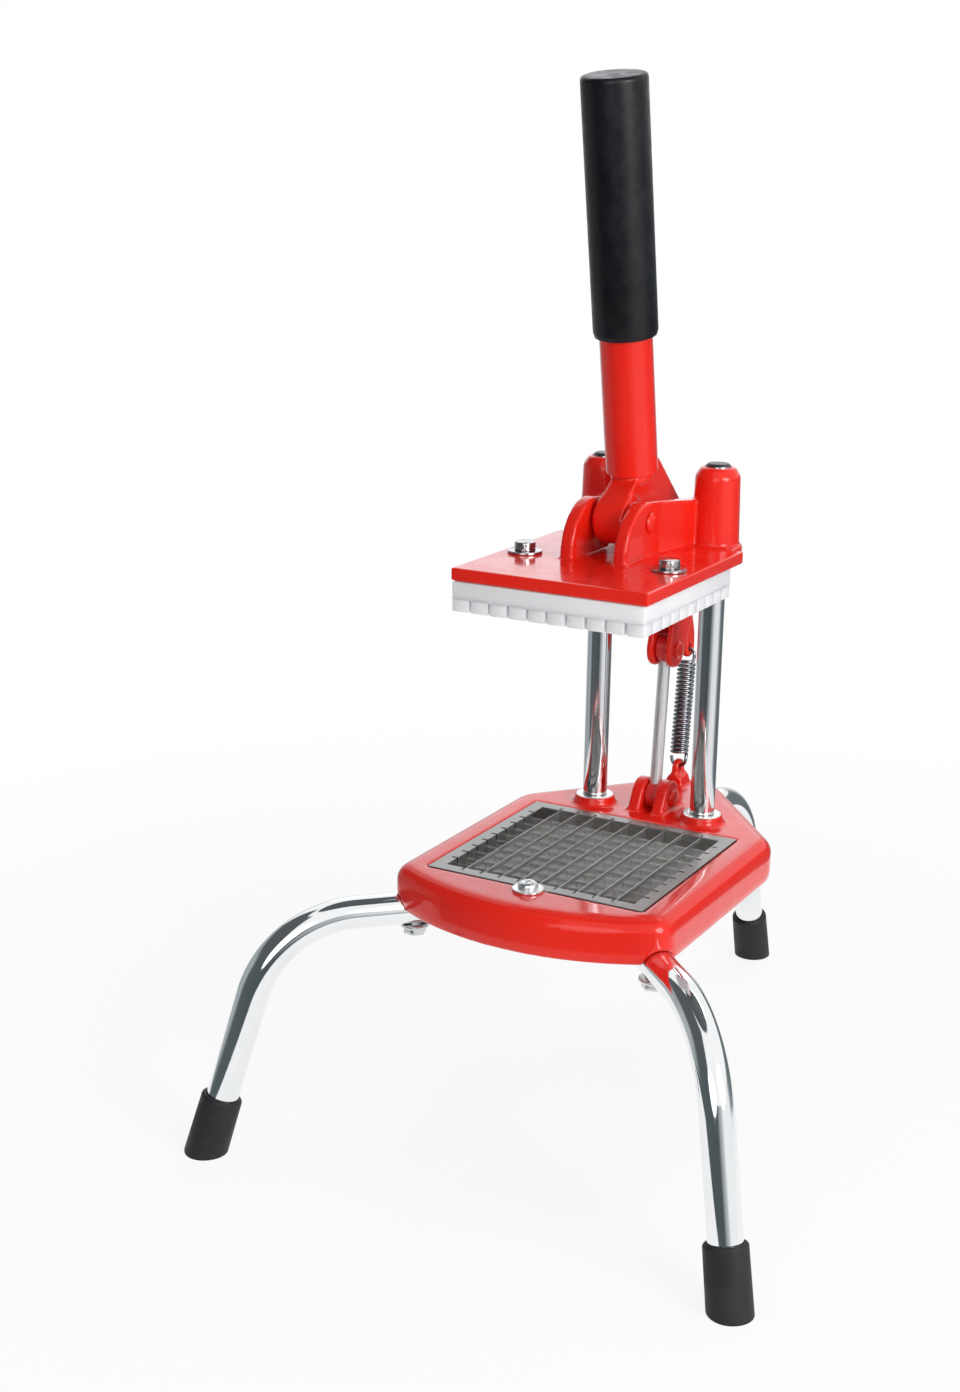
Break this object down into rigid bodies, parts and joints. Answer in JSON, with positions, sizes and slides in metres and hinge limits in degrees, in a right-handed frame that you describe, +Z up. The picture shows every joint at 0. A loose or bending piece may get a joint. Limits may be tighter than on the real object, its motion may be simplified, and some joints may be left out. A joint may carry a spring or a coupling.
{
  "type": "onion chopper",
  "caption": "Bench onion chopper: a hand lever pulls a fingered pusher down guide posts through a square blade grid on a cast base with bent tube legs.",
  "frame": {"origin": "on the floor, midway between the feet in depth, in the middle plane", "axes": "+Z up, -Y towards the operator, +X to the operator's right"},
  "size_m": [0.2972, 0.3908, 0.5113],
  "materials": {
    "red_enamel": "glossy stoved enamel on cast aluminium",
    "red_steel": "the same enamel on steel",
    "frame_steel": "satin",
    "blade_steel": "ground edges",
    "zinc": "bright zinc plate",
    "chrome": "polished",
    "white_plastic": "moulded, semi-gloss",
    "black_grip": "soft vinyl",
    "foot_rubber": "moulded"
  },
  "bodies": {
    "base": {"base_casting": "red_enamel", "blade_frame": "frame_steel", "lengthwise_blades": "blade_steel", "crosswise_blades": "blade_steel", "frame_screw": "zinc", "frame_washer": "zinc", "left_post": "chrome", "right_post": "chrome", "post_nuts": "zinc", "front_left_leg": "chrome", "front_right_leg": "chrome", "rear_leg": "chrome", "front_left_foot": "foot_rubber", "front_right_foot": "foot_rubber", "rear_foot": "foot_rubber", "leg_bolts": "zinc", "link_pin": "red_steel"},
    "head": {"head_casting": "red_enamel", "pusher_block": "white_plastic", "pusher_bolts": "zinc", "pusher_washers": "zinc", "pivot_pin": "red_steel", "pivot_clip": "zinc"},
    "lever": {"lever_arm": "red_enamel", "lever_tube": "red_steel", "lever_grip": "black_grip", "link_rivets": "red_steel"},
    "link": {"link_rod": "chrome"},
    "spring": {"return_spring": "chrome"}
  },
  "joints": [
    {"name": "head_slide", "type": "slide", "parent": "base", "child": "head", "axis": [0, 0, 1], "range_m": [-0.13077, 0], "stiffness_N_per_m": 120, "springref_m": 0.25},
    {"name": "lever_hinge", "type": "hinge", "parent": "head", "child": "lever", "pos_m": [0, -0.03035, 0.304], "axis": [1, 0, 0], "range_deg": [0, 78]},
    {"name": "link_hinge", "type": "hinge", "parent": "base", "child": "link", "pos_m": [0, 0.02765, 0.1474], "axis": [1, 0, 0], "range_deg": [-19.27, 0]},
    {"name": "spring_stretch", "type": "slide", "parent": "base", "child": "spring", "axis": [0, 0.0272, 0.9996], "range_m": [0, 0.04185], "deforming": ["return_spring"]}
  ],
  "couplings": [
    {"joint": "lever_hinge", "follows": "head_slide", "rad_per_m": -10.41},
    {"joint": "link_hinge", "follows": "head_slide", "rad_per_m": 2.5716},
    {"joint": "spring_stretch", "follows": "head_slide", "ratio": -0.31997}
  ]
}
